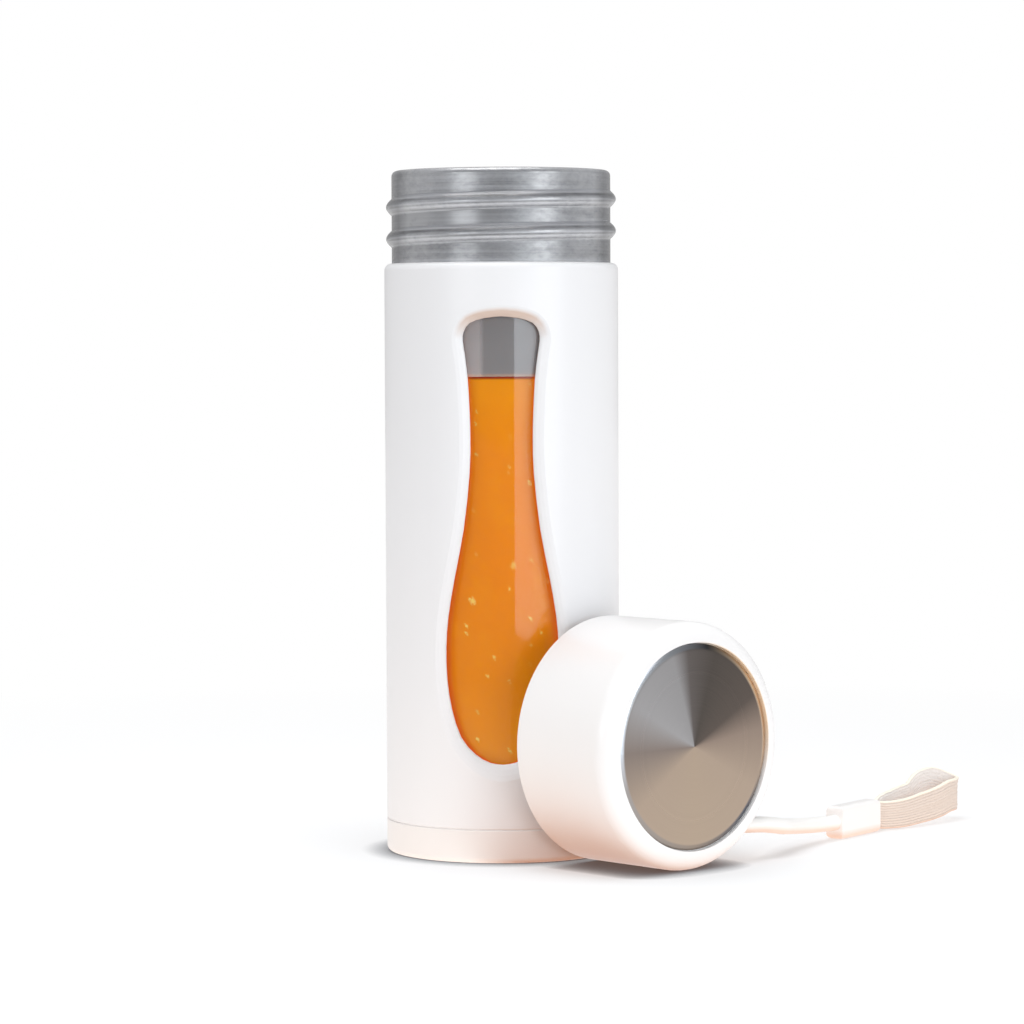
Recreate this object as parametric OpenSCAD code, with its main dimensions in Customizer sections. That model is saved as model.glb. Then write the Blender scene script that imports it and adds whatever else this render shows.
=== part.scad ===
// Glass drinking bottle in a white window sleeve, with its screw cap lying beside it on a strap.
// Millimetres. The bottle stands on z = 0 with its axis on the z axis, the window faces -y.

/* [Sleeve] */

// outside radius of the sleeve
sleeve_r = 34; // [30:0.5:40]
// height of the neck above the sleeve
neck_up = 26.8; // [20:0.1:40]
// wall thickness of the sleeve
sleeve_wall = 3; // [2:0.1:4]
// rounding of the sleeve's top edge
sleeve_edge = 2; // [0.5:0.1:2.5]

/* [Window] */

// half of the window's greatest width
window_half_w = 16; // [8:0.5:20]
// height of the window's lower end
window_low = 28; // [20:1:60]
// distance from the window's upper end to the sleeve's top edge
window_gap = 15.5; // [8:0.5:60]
// width of the sloped lip round the window
window_lip = 3.4; // [1:0.1:4]
// depth of the sloped lip
window_lip_depth = 2.2; // [0.5:0.1:2.4]

/* [Glass] */

// height of the mouth's rim
rim_top = 197.8; // [150:0.1:240]
// how far the neck stands back from the sleeve's outside
neck_inset = 2.2; // [1:0.1:3]
// wall thickness of the neck
neck_wall = 4.4; // [3:0.1:8]
// clearance between the glass and the sleeve
glass_gap = 0.6; // [0.3:0.1:1.5]
// wall thickness of the glass
glass_wall = 2; // [1.5:0.1:4]
// height at which the glass sits in the base
glass_foot = 3.6; // [2:0.1:8]
// thickness of the glass bottom
glass_bottom_t = 5; // [3:0.5:8]
// how far the drink's surface lies below the rim
drink_down = 59.4; // [32:0.1:150]

/* [Thread] */

// rise of the thread in one turn
thread_pitch = 4.6; // [3:0.1:6]
// how far the upper ridge lies below the rim at the front
thread_down = 9.4; // [7:0.1:14]
// how far the ridges stand out from the neck
thread_h = 1.6; // [1:0.1:2]
// width of the neck's ridges
thread_w = 5.6; // [3:0.1:7]
// width of the cap's ridge
cap_thread_w = 2.8; // [2:0.1:4]
// clearance between the cap's ridge and the neck
thread_clear = 0.7; // [0.2:0.1:1]

/* [Base] */

// height of the seam between base and sleeve
seam_z = 9.6; // [6:0.1:16]
// thickness of the base floor
base_floor = 2.4; // [1.5:0.1:4]
// rounding of the base's lower edge
base_edge = 1.5; // [0.5:0.1:3]

/* [Cap] */

// how far the cap stands out past the sleeve
cap_over = 1; // [0:0.1:3]
// gap between the seated cap and the sleeve
cap_stand = 1; // [0.5:0.1:3]
// thickness of the cap's top
cap_top_t = 8.6; // [8.2:0.1:16]
// clearance between the neck's ridge and the cap's wall
skirt_gap = 0.3; // [0.2:0.1:0.8]
// rounding of the cap's top edge
cap_edge = 5; // [2:0.5:7]
// width of the white edge round the steel disc
bezel_w = 6; // [4:0.5:14]
// thickness of the steel disc
disc_t = 1; // [0.5:0.1:2]
// thickness of the cap's gasket
gasket_t = 1.6; // [1:0.1:3]

/* [Strap] */

// thickness of the round cord
cord_d = 4.6; // [3:0.1:6]
// width of the woven band
ribbon_w = 10; // [6:0.1:12]
// thickness of the woven band
ribbon_t = 1.2; // [0.8:0.1:2]
// length of the clamp between cord and band
ferrule_len = 22.5; // [12:0.5:35]
// height of the clamp
ferrule_h = 9.8; // [7:0.1:14]
// thickness of the clamp
ferrule_t = 5.6; // [4:0.1:8]

/* [Resting place of the cap] */

// clearance between the sleeve and the plane of the cap's rim
cap_gap = 4.14; // [1:0.01:40]
// how far the cap's axis passes beside the bottle's
cap_side = 5.14; // [-20:0.01:20]
// angle that the cap faces, from +x towards -y
cap_turn = 47.4; // [30:0.1:60]

/* [Hidden] */

$fn = 96;

// Small sizes.
step_r = 0.4;
slide_gap = 0.1;
seam_chamfer = 0.35;
tongue_h = 3;
tongue_t = 1.25;
collar_h = 4.5;
neck_gasket_t = 1.2;
pad_inset = 3.4;
foot_round = 4;
inner_round = 6;
rim_round = 1.6;
cut_past = 1;
gasket_over = 1.1;
plate_t = 1.2;
disc_gap = 0.3;
disc_sink = 0.5;
disc_round = 2.2;
disc_low_share = 0.3;
disc_steps = 9;
rim_lip = 0.5;
pin_r = 1.3;
pin_inset = 5;
pin_up = 10.5;
pin_in = 3.4;
pocket_w = 5.2;
pocket_r = 5.2;
pocket_half = 3;
pocket_reach = 20;
pin_seat = 0.6;
eye_r = 1.5;
eye_mid = 3.1;
thin_share = 0.72;
clamp_round = 1.5;
clamp_lay = 0.75;
clamp_ribbon_w = 8.3;
clamp_bore = 8;
clamp_slot = 6;
band_fan = 34;

// Radii, each from the one before it.
bore_r = sleeve_r - sleeve_wall;
glass_r = bore_r - glass_gap;
inner_r = glass_r - glass_wall;
neck_r = sleeve_r - neck_inset;
mouth_r = neck_r - neck_wall;
collar_r = neck_r + step_r;
pad_r = glass_r - pad_inset;
cap_r = sleeve_r + cap_over;
skirt_r = neck_r + thread_h + skirt_gap;
cap_thread_h = skirt_r - neck_r - thread_clear;
disc_r = cap_r - bezel_w;

// Heights, measured up from the floor or down from the rim.
sleeve_top = rim_top - neck_up;
collar_z = sleeve_top - collar_h;
shoulder_z = collar_z + neck_gasket_t;
glass_floor = glass_foot + glass_bottom_t;
pad_t = glass_foot - base_floor;
drink_top = rim_top - drink_down;
window_tall = sleeve_top - window_gap - window_low;
thread_front = rim_top - thread_down;
ridge_step = 2 * thread_pitch;

// Lengths along the cap, from its rim.
cap_depth = neck_up - cap_stand;
web_z = cap_depth + gasket_t;
cap_len = web_z + cap_top_t;
disc_floor = cap_len - disc_sink - disc_t;
ridge_front = thread_front - sleeve_top - cap_stand - thread_pitch / 2;

// Where the cap's rim centre lies.
cap_x = (sleeve_r + cap_gap) * cos(cap_turn) + cap_side * sin(cap_turn);
cap_y = cap_side * cos(cap_turn) - (sleeve_r + cap_gap) * sin(cap_turn);

// The strap's pin: how far down from the cap's axis, to its side, and along the cap.
pin_at = cap_r - pin_inset;
pin_low = cap_r - pin_up;
pin_side = sqrt(pin_at * pin_at - pin_low * pin_low);
pin_axial = web_z + pin_in;

// Half of the window's outline from its top to its bottom, as shares of half width and height.
window_shape_shares = [
    [0, 1], [0.31, 0.996], [0.56, 0.985], [0.665, 0.966], [0.68, 0.945], [0.645, 0.915],
    [0.595, 0.86], [0.565, 0.79], [0.553, 0.73], [0.57, 0.65], [0.68, 0.525], [0.84, 0.42],
    [0.96, 0.33], [1, 0.26], [0.985, 0.19], [0.905, 0.123], [0.74, 0.06], [0.48, 0.022],
    [0.22, 0.004], [0, 0]
];

// Lip profile: shares of its width outwards and of its depth below the sleeve's surface.
lip_shares = [[0, 1], [0.07, 0.8], [0.3, 0.5], [0.62, 0.2], [0.85, 0.05], [1, -0.03]];

// Ridge profile: shares of its height and of half its width.
ridge_shares = [
    [0, -1], [0.32, -0.78], [0.65, -0.55], [0.9, -0.28], [1, 0], [0.9, 0.28], [0.65, 0.55],
    [0.32, 0.78], [0, 1]
];

// Points of the strap: how far they lie beside the pin, over the floor, and from the pin along the cap.
cord_points = [
    [3.2, 10.4, 0], [8.7, 10.3, 0], [14.7, 9.9, 0], [19.7, 9.2, -0.2], [24.3, 8.4, -1.3],
    [28.8, 7.8, -3.3], [33.2, 7.2, -5.7], [42, 6.2, -9.3], [51, 5.4, -12.2], [56.1, 5.1, -13.4],
    [61, 4.9, -14.4], [69, 4.9, -16.1]
];
ferrule_start = [61, -14.4];
ferrule_yaw = 12;
ribbon_points = [
    [78, 4.9, -17.25], [84.5, 4.8, -18.4], [87.5, 4.6, -17.6], [92.1, 4.6, -16.9],
    [96.6, 4.8, -16.8], [102.4, 5.4, -17.1], [107.5, 5.9, -17.5], [112.8, 6.6, -18.1],
    [117.5, 7.6, -18.8], [121.3, 7.7, -20], [124.1, 7.7, -21.6], [125, 7.9, -23.1],
    [123.4, 8.8, -24.3], [120.6, 10, -25], [116.8, 11.2, -25.3], [113.6, 11.1, -25.3],
    [111.1, 10.6, -25.2], [109.4, 9.7, -25.1], [107.5, 8.4, -24.9], [105.5, 7.6, -24.7],
    [101, 7.3, -24], [94.9, 6.8, -22.6], [89.9, 6.3, -21.4], [84.5, 4.9, -20],
    [78, 4.9, -18.8]
];

// Points of a smooth curve through the given ones, with the given number of steps between them.
function blend(a, b, c, d, t) =
    ((b * 2) + (c - a) * t + (a * 2 - b * 5 + c * 4 - d) * t * t + (b * 3 - a - c * 3 + d) * t * t * t) / 2;
function smooth(p, steps) = [
    for (i = [0 : len(p) - 2])
        for (s = [0 : steps - 1])
            blend(p[max(i - 1, 0)], p[i], p[i + 1], p[min(i + 2, len(p) - 1)], s / steps),
    p[len(p) - 1]
];
function unit(v) = v / norm(v);
function heading(p, i) = unit(p[min(i + 1, len(p) - 1)] - p[max(i - 1, 0)]);
function ease(t) = let(u = min(max(t, 0), 1)) u * u * (3 - 2 * u);

// Faces of a solid made of rings of n points, closed by flat ends.
function skin(n, rings) = [
    for (k = [0 : rings - 2])
        for (i = [0 : n - 1])
            each [
                [k * n + i, k * n + (i + 1) % n, (k + 1) * n + (i + 1) % n],
                [k * n + i, (k + 1) * n + (i + 1) % n, (k + 1) * n + i]
            ]
];
function fan(n, start, flip) = [
    for (i = [1 : n - 2])
        flip ? [start, start + i + 1, start + i] : [start, start + i, start + i + 1]
];
function ladder(n, start, flip) = [
    for (i = [0 : n / 2 - 1])
        let(a = start + i, b = start + i + 1, c = start + (n - i - 1) % n, d = start + (n - i) % n)
            each flip
                ? [if (i < n / 2 - 1) [a, c, b], if (i > 0) [a, d, c]]
                : [if (i < n / 2 - 1) [a, b, c], if (i > 0) [a, c, d]]
];

// A flat block with one corner rounded, to be turned about the z axis.
module corner_off(x, z, r, right, up) {
    difference() {
        translate([right ? x - r : x - cut_past, up ? z - r : z - cut_past])
            square([r + cut_past, r + cut_past]);
        translate([right ? x - r : x + r, up ? z - r : z + r])
            circle(r);
    }
}

// A screw ridge round the z axis; out = 1 stands outwards, out = -1 inwards.
module screw_ridge(root, tall, wide, z_front, from, to, out, sink) {
    steps = ceil((to - from) / 10);
    fade = 45;
    n = len(ridge_shares);
    points = [
        for (k = [0 : steps])
            let(
                a = from + (to - from) * k / steps,
                live = min(ease((a - from) / fade), ease((to - a) / fade)),
                z = z_front + thread_pitch * a / 360
            )
                for (s = ridge_shares)
                    let(
                        r = root + out * (s[0] * (tall + sink) * (0.12 + 0.88 * live) - sink),
                        w = wide / 2 * (0.5 + 0.5 * live)
                    )
                        [r * sin(a), -r * cos(a), z + s[1] * w]
    ];
    faces = concat(skin(n, steps + 1), fan(n, 0, true), fan(n, steps * n, false));
    polyhedron(points, out > 0 ? faces : [for (f = faces) [f[0], f[2], f[1]]]);
}

// The glass vessel with its threaded neck.
module glass_bottle() {
    color([0.75, 0.78, 0.8])
    union() {
        rotate_extrude()
        difference() {
            union() {
                translate([0, glass_foot])
                    square([glass_r, shoulder_z - glass_foot + cut_past]);
                translate([0, shoulder_z])
                    square([neck_r, rim_top - shoulder_z]);
            }
            corner_off(glass_r, glass_foot, foot_round, true, false);
            corner_off(neck_r, rim_top, rim_round, true, true);
            difference() {
                translate([0, glass_floor])
                    square([inner_r, shoulder_z - glass_floor]);
                corner_off(inner_r, glass_floor, inner_round, true, false);
            }
            translate([0, shoulder_z - cut_past])
                square([mouth_r, rim_top - shoulder_z + 2 * cut_past]);
            translate([0, rim_top - rim_round])
            difference() {
                square([mouth_r + rim_round, rim_round + cut_past]);
                translate([mouth_r + rim_round, 0])
                    circle(rim_round);
            }
        }
        for (down = [0, ridge_step])
            screw_ridge(neck_r, thread_h, thread_w, thread_front - down, -180, 180, 1, step_r);
    }
}

// The drink inside the glass.
module drink() {
    color([0.93, 0.55, 0.1])
    rotate_extrude()
    difference() {
        translate([0, glass_floor + slide_gap])
            square([inner_r - slide_gap, drink_top - glass_floor - slide_gap]);
        corner_off(inner_r - slide_gap, glass_floor + slide_gap, inner_round, true, false);
    }
}

// The tool that opens the window and slopes its lip.
module window_tool() {
    shape = [for (s = window_shape_shares) [s[0] * window_half_w, window_low + s[1] * window_tall]];
    half = smooth(shape, 2);
    m = len(half);
    loop = concat(half, [for (i = [m - 2 : -1 : 1]) [-half[i][0], half[i][1]]]);
    n = len(loop);
    outward = [
        for (i = [0 : n - 1])
            let(d = unit(loop[(i + 1) % n] - loop[(i + n - 1) % n])) [-d[1], d[0]]
    ];
    low_share = 0.4;
    rows = [
        for (s = lip_shares)
            for (i = [0 : n - 1])
                let(
                    more = 1 + low_share * max(-outward[i][1], 0),
                    x = loop[i][0] + outward[i][0] * s[0] * window_lip,
                    z = loop[i][1] + outward[i][1] * s[0] * window_lip * more,
                    r = sleeve_r - s[1] * window_lip_depth
                )
                    [x, -sqrt(r * r - x * x), z]
    ];
    last = (len(lip_shares) - 1) * n;
    points = concat(
        [for (p = loop) [p[0], -glass_r / 2, p[1]]],
        rows,
        [for (i = [0 : n - 1]) [rows[last + i][0], -sleeve_r - cut_past, rows[last + i][2]]]
    );
    rings = len(lip_shares) + 2;
    polyhedron(points, concat(skin(n, rings), ladder(n, 0, true), ladder(n, (rings - 1) * n, false)));
}

// The white sleeve with its window.
module outer_sleeve() {
    color([0.95, 0.95, 0.96])
    difference() {
        rotate_extrude()
        difference() {
            translate([bore_r, seam_z])
                square([sleeve_wall, sleeve_top - seam_z]);
            corner_off(sleeve_r, sleeve_top, sleeve_edge, true, true);
            translate([0, collar_z])
                square([collar_r, collar_h + cut_past]);
            translate([0, seam_z - cut_past])
                square([bore_r + tongue_t + slide_gap, tongue_h + slide_gap + cut_past]);
            polygon([
                [sleeve_r - seam_chamfer, seam_z], [sleeve_r + cut_past, seam_z - cut_past],
                [sleeve_r + cut_past, seam_z + seam_chamfer], [sleeve_r, seam_z + seam_chamfer]
            ]);
        }
        window_tool();
    }
}

// The ring that the neck's shoulder sits on.
module neck_gasket() {
    color([0.86, 0.87, 0.88])
    translate([0, 0, collar_z])
    rotate_extrude()
        translate([glass_r + slide_gap, 0])
            square([collar_r - glass_r - 2 * slide_gap, neck_gasket_t]);
}

// The base that closes the sleeve below.
module base_cup() {
    color([0.96, 0.96, 0.97])
    rotate_extrude()
    difference() {
        union() {
            square([sleeve_r, seam_z]);
            square([bore_r + tongue_t, seam_z + tongue_h]);
        }
        corner_off(sleeve_r, 0, base_edge, true, false);
        translate([0, base_floor])
            square([glass_r + step_r, seam_z + tongue_h]);
        polygon([
            [sleeve_r - seam_chamfer, seam_z], [sleeve_r, seam_z - seam_chamfer],
            [sleeve_r + cut_past, seam_z - seam_chamfer], [sleeve_r + cut_past, seam_z + cut_past]
        ]);
    }
}

// The soft pad under the glass.
module base_pad() {
    color([0.85, 0.86, 0.87])
    translate([0, 0, base_floor])
        cylinder(r = pad_r, h = pad_t);
}

// Puts pieces that are drawn with the cap's rim on z = 0 where the cap lies.
module cap_place() {
    translate([cap_x, cap_y, cap_r])
        rotate([0, 0, -cap_turn])
            rotate([0, 90, 0])
                children();
}

// Where the strap's pin stands in the cap.
module pin_place() {
    translate([pin_low, pin_side, pin_axial])
        children();
}

// The room for the cord's eye, opened as far as the cord swings.
module strap_pocket() {
    low = -12;
    high = 38;
    translate([0, 0, -pocket_w / 2])
        cylinder(r = pocket_r, h = pocket_w);
    translate([0, 0, -pocket_w / 2])
    linear_extrude(pocket_w)
        polygon([
            [-sin(low - 90) * pocket_half, cos(low - 90) * pocket_half],
            [-sin(low - 90) * pocket_half - sin(low) * pocket_reach,
             cos(low - 90) * pocket_half + cos(low) * pocket_reach],
            [-sin(high + 90) * pocket_half - sin(high) * pocket_reach,
             cos(high + 90) * pocket_half + cos(high) * pocket_reach],
            [-sin(high + 90) * pocket_half, cos(high + 90) * pocket_half]
        ]);
}

// The cap's white body.
module cap_shell() {
    color([0.96, 0.96, 0.96])
    cap_place()
    difference() {
        union() {
            rotate_extrude()
            difference() {
                square([cap_r, cap_len]);
                corner_off(cap_r, cap_len, cap_edge, true, true);
                corner_off(cap_r, 0, rim_lip, true, false);
                translate([0, -cut_past])
                    square([skirt_r, web_z + cut_past]);
                translate([0, disc_floor])
                    square([disc_r + disc_gap, cap_len]);
            }
            screw_ridge(skirt_r, cap_thread_h, cap_thread_w, ridge_front, -360, 0, -1, step_r);
        }
        pin_place() {
            strap_pocket();
            cylinder(r = pin_r, h = pocket_w + 2 * pin_seat, center = true);
        }
    }
}

// The brushed disc let into the cap's top.
module cap_disc() {
    color([0.7, 0.68, 0.65])
    cap_place()
    translate([0, 0, disc_floor])
    rotate_extrude()
        polygon([
            [0, 0], [disc_r, 0],
            for (i = [0 : disc_steps]) let (a = 90 * i / disc_steps) [
                disc_r - disc_round * (1 - cos(a)),
                disc_t * (disc_low_share + (1 - disc_low_share) * sin(a))
            ],
            [0, disc_t]
        ]);
}

// The ring in the cap that seals on the rim.
module cap_gasket() {
    color([0.9, 0.9, 0.9])
    cap_place()
    translate([0, 0, cap_depth])
    rotate_extrude()
        translate([mouth_r - gasket_over, 0])
            square([skirt_r - slide_gap - mouth_r + gasket_over, gasket_t]);
}

// The plate in the cap inside its gasket.
module cap_inner_plate() {
    color([0.93, 0.93, 0.93])
    cap_place()
    translate([0, 0, web_z - plate_t])
        cylinder(r = mouth_r - gasket_over - slide_gap, h = plate_t);
}

// The pin that the cord turns on.
module strap_pin() {
    color([0.6, 0.6, 0.62])
    cap_place()
    pin_place()
        cylinder(r = pin_r, h = pocket_w + 2 * pin_seat, center = true);
}

// Turns a point of the strap into the cap's own directions.
function laid(p) = [cap_r - p[1], pin_side + p[0], pin_axial + p[2]];

// A round cord along a route, thinner where it leaves its pin.
module cord_tube(route, r, sides) {
    n = len(route);
    points = [
        for (i = [0 : n - 1])
            let(
                d = heading(route, i),
                u = unit(cross(d, [1, 0, 0])),
                v = cross(u, d),
                q = r * (thin_share + (1 - thin_share) * ease((route[i][1] - pin_side) / pocket_reach * 2))
            )
                for (k = [0 : sides - 1])
                    route[i] + u * q * cos(360 * k / sides) + v * q * sin(360 * k / sides)
    ];
    polyhedron(points, concat(skin(sides, n), fan(sides, 0, true), fan(sides, (n - 1) * sides, false)));
}

// The cord from the pin to the clamp.
module strap_cord() {
    color([0.97, 0.97, 0.97])
    cap_place() {
        pin_place()
        rotate_extrude()
            translate([eye_mid, 0])
                circle(eye_r);
        cord_tube([for (p = smooth(cord_points, 2)) laid(p)], cord_d / 2, 10);
    }
}

// Puts a piece along the clamp's length: x along it, y through it, z upwards.
module ferrule_place() {
    cap_place()
    translate(laid([ferrule_start[0], ferrule_h / 2, ferrule_start[1]]))
        rotate([-90 - ferrule_yaw, 0, 0])
            rotate([0, -90, 0])
                children();
}

module rounded_plate(w, h, r) {
    difference() {
        translate([-w / 2, -h / 2])
            square([w, h]);
        corner_off(w / 2, h / 2, r, true, true);
        corner_off(w / 2, -h / 2, r, true, false);
        corner_off(-w / 2, h / 2, r, false, true);
        corner_off(-w / 2, -h / 2, r, false, false);
    }
}

// The clamp that joins the cord and the woven band.
module strap_ferrule() {
    color([0.97, 0.97, 0.97])
    ferrule_place()
    difference() {
        intersection() {
            translate([ferrule_len / 2, 0, 0])
            rotate([90, 0, 0])
            translate([0, 0, -ferrule_t / 2])
            linear_extrude(ferrule_t)
                rounded_plate(ferrule_len, ferrule_h, clamp_round);
            rotate([90, 0, 90])
            linear_extrude(ferrule_len)
                rounded_plate(ferrule_t, ferrule_h, clamp_round);
        }
        translate([-cut_past, 0, 0])
        rotate([0, 90, 0])
            cylinder(r = cord_d / 2, h = clamp_bore + cut_past);
        translate([ferrule_len - clamp_slot, -clamp_lay - ribbon_t / 2, -clamp_ribbon_w / 2])
            cube([clamp_slot + cut_past, 2 * clamp_lay + ribbon_t, clamp_ribbon_w]);
    }
}

// The woven band, out of the clamp, round its fold and back.
module strap_ribbon() {
    path = smooth(ribbon_points, 2);
    n = len(path);
    points = [
        for (i = [0 : n - 1])
            let(
                d = heading(path, i),
                side = unit(cross(d, [0, 1, 0])),
                up = cross(side, d),
                free = ease((path[i][0] - ferrule_start[0] - ferrule_len) / band_fan),
                w = (clamp_ribbon_w + (ribbon_w - clamp_ribbon_w) * free) / 2
            )
                for (c = [[-1, -1], [1, -1], [1, 1], [-1, 1]])
                    laid(path[i] + side * c[0] * ribbon_t / 2 + up * c[1] * w)
    ];
    color([0.85, 0.75, 0.68])
    cap_place()
        polyhedron(points, concat(skin(4, n), fan(4, 0, true), fan(4, (n - 1) * 4, false)));
}

glass_bottle();
drink();
outer_sleeve();
neck_gasket();
base_cup();
base_pad();
cap_shell();
cap_disc();
cap_gasket();
cap_inner_plate();
strap_pin();
strap_cord();
strap_ferrule();
strap_ribbon();
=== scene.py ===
"""Glass drinking bottle in a white window sleeve, its screw cap beside it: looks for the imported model.

Blender's lengths are metres, and so are the places of camera and lamps. The object's own sizes are in mm
and are multiplied by MM. The bottle's axis is z, the window faces -y, and the cap lies towards +x and -y.
"""

import bpy
import numpy as np
from mathutils import Matrix, Vector


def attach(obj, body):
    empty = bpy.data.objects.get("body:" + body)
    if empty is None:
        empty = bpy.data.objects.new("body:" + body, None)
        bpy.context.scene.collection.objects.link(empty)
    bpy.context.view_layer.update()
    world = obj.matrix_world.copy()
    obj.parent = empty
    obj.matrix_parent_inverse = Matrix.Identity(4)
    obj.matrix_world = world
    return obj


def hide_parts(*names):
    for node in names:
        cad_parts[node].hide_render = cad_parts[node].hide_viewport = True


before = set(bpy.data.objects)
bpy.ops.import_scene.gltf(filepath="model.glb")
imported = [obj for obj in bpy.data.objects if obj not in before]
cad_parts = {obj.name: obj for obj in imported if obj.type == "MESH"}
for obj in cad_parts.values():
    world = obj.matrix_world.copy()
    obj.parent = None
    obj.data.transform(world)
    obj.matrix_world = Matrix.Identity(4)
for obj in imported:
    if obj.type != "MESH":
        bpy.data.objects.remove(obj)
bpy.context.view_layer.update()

MM = 0.001

# The cap's and the pin's places, as in the part's source. CAP_RIM is the middle of the cap's rim, in metres,
# as a place on the floor.

CAP_TURN = np.radians(47.4)
FORWARD = np.array([np.cos(CAP_TURN), -np.sin(CAP_TURN), 0.0])
SIDEWAYS = np.array([np.sin(CAP_TURN), np.cos(CAP_TURN), 0.0])
UP = np.array([0.0, 0.0, 1.0])
SLEEVE_RADIUS = 34.0
CAP_GAP = 4.14
CAP_SIDE = 5.14
CAP_RADIUS = 35.0
CAP_RIM = (SLEEVE_RADIUS + CAP_GAP) * MM * FORWARD + CAP_SIDE * MM * SIDEWAYS
PIN_HEIGHT = 10.5
PIN_FROM_AXIS = 30.0
PIN_SIDE = np.sqrt(PIN_FROM_AXIS**2 - (CAP_RADIUS - PIN_HEIGHT) ** 2)
PIN_ALONG = 30.8


def strap_place(points):
    """Places, in metres, of points in mm: beside the pin, over the floor, and past the pin along the cap."""
    p = np.asarray(points, float) * MM
    return (
        CAP_RIM
        + (p[:, :1] + PIN_SIDE * MM) * SIDEWAYS
        + p[:, 1:2] * UP
        + (p[:, 2:3] + PIN_ALONG * MM) * FORWARD
    )


# Camera.


def look_from(place, pitch, roll, focal):
    """A level camera along +y, pitched down and rolled by the given degrees."""
    camera = bpy.data.objects.new("camera", bpy.data.cameras.new("camera"))
    bpy.context.scene.collection.objects.link(camera)
    p, r = np.radians(pitch), np.radians(roll)
    ahead = np.array([0, np.cos(p), -np.sin(p)])
    above = np.array([0, np.sin(p), np.cos(p)])
    right = np.array([1.0, 0, 0])
    axis_x = np.cos(r) * right + np.sin(r) * above
    axis_y = -np.sin(r) * right + np.cos(r) * above
    m = Matrix(np.stack([axis_x, axis_y, -ahead], 1).tolist()).to_4x4()
    m.translation = place
    camera.matrix_world = m
    camera.data.lens = focal
    camera.data.sensor_width = 36
    camera.data.clip_start = 0.01
    camera.data.clip_end = 50
    bpy.context.scene.camera = camera


look_from(place=(0.00287, -1.12157, 0.15202), pitch=2.73, roll=-0.23, focal=135.22)

# Meshes.


def smooth_line(points, steps):
    """A curve through the points.

    Each span is the cubic whose slope at a point is half the chord between the point's neighbours.
    """
    p = np.asarray(points, float)
    before = np.vstack([p[:1], p[:-2]])
    a, b, c = before, p[:-1], p[1:]
    d = np.vstack([p[2:], p[-1:]])
    t = (np.arange(steps) / steps)[:, None, None]
    span = (
        b * 2
        + (c - a) * t
        + (a * 2 - b * 5 + c * 4 - d) * t**2
        + (b * 3 - a - c * 3 + d) * t**3
    ) / 2
    return np.vstack([span.transpose(1, 0, 2).reshape(-1, p.shape[1]), p[-1:]])


def unit(v):
    """Rows of v at length one."""
    return v / np.linalg.norm(v, axis=-1, keepdims=True)


def arc(centre, radius, start, end, steps):
    """Points of an arc between two angles in degrees: the centre + radius * (cos, sin) of the angle."""
    a = np.radians(np.linspace(start, end, steps))
    return np.stack([centre[0] + radius * np.cos(a), centre[1] + radius * np.sin(a)], 1)


def upright(radius, start, end, steps):
    """Points of an upright line at this radius between two heights."""
    return np.stack([np.full(steps, radius), np.linspace(start, end, steps)], 1)


def rings_to_mesh(name, rings, closed=False, uv_scale=None):
    """Closed rings, as an array (k, n, 3), joined one to the next by quads.

    Each end is closed by a fan to its ring's middle, or closed joins the last ring to the first. The UV map
    has u along the rings and v round them, each uv_scale times the count of steps, up to the seam.
    """
    k, n = rings.shape[:2]
    points = rings.reshape(-1, 3)
    i = np.arange(n)
    j = (i + 1) % n
    row = np.arange(k if closed else k - 1)[:, None]
    low, high = row * n, (row + 1) % k * n
    quads = np.stack([low + i, low + j, high + j, high + i], 2).reshape(-1, 4)
    if closed:
        fans = np.zeros((0, 3), int)
    else:
        points = np.vstack([points, rings[0].mean(0), rings[-1].mean(0)])
        first = np.stack([j, i, np.full(n, k * n)], 1)
        last = np.stack([(k - 1) * n + i, (k - 1) * n + j, np.full(n, k * n + 1)], 1)
        fans = np.vstack([first, last])
    both = np.vstack([quads[:, :3], quads[:, [0, 2, 3]], fans])
    p = points[both]
    if np.einsum("ij,ij->", p[:, 0], np.cross(p[:, 1], p[:, 2])) < 0:
        quads, fans = quads[:, ::-1], fans[:, ::-1]
    mesh = bpy.data.meshes.new(name)
    mesh.from_pydata(points.tolist(), [], quads.tolist() + fans.tolist())
    mesh.polygons.foreach_set("use_smooth", np.ones(len(mesh.polygons), bool))
    if uv_scale is not None:
        corners = np.zeros(len(mesh.loops), np.int64)
        mesh.loops.foreach_get("vertex_index", corners)
        u, v = corners // n * uv_scale[0], corners % n * uv_scale[1]
        wrap = np.zeros(len(corners), bool)
        quad_corners = corners[: quads.size].reshape(-1, 4)
        wraps = (quad_corners % n == n - 1).any(1)[:, None] & (quad_corners % n == 0)
        wrap[: quads.size] = wraps.reshape(-1)
        v = v + wrap * n * uv_scale[1]
        layer = mesh.uv_layers.new(name="along")
        layer.data.foreach_set("uv", np.stack([u, v], 1).astype(np.float32).reshape(-1))
    mesh.update()
    piece = bpy.data.objects.new(name, mesh)
    bpy.context.scene.collection.objects.link(piece)
    return piece


def headings(path):
    """The direction of a path at each of its points, from the points beside it."""
    ahead = np.vstack([path[1:], path[-1:]])
    behind = np.vstack([path[:1], path[:-1]])
    return unit(ahead - behind)


def ease(t):
    """0 below 0, 1 above 1, and a smooth step between."""
    u = np.clip(t, 0, 1)
    return u * u * (3 - 2 * u)


# Cord and band. The routes, in mm, are the same points as in the part's source.

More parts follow.
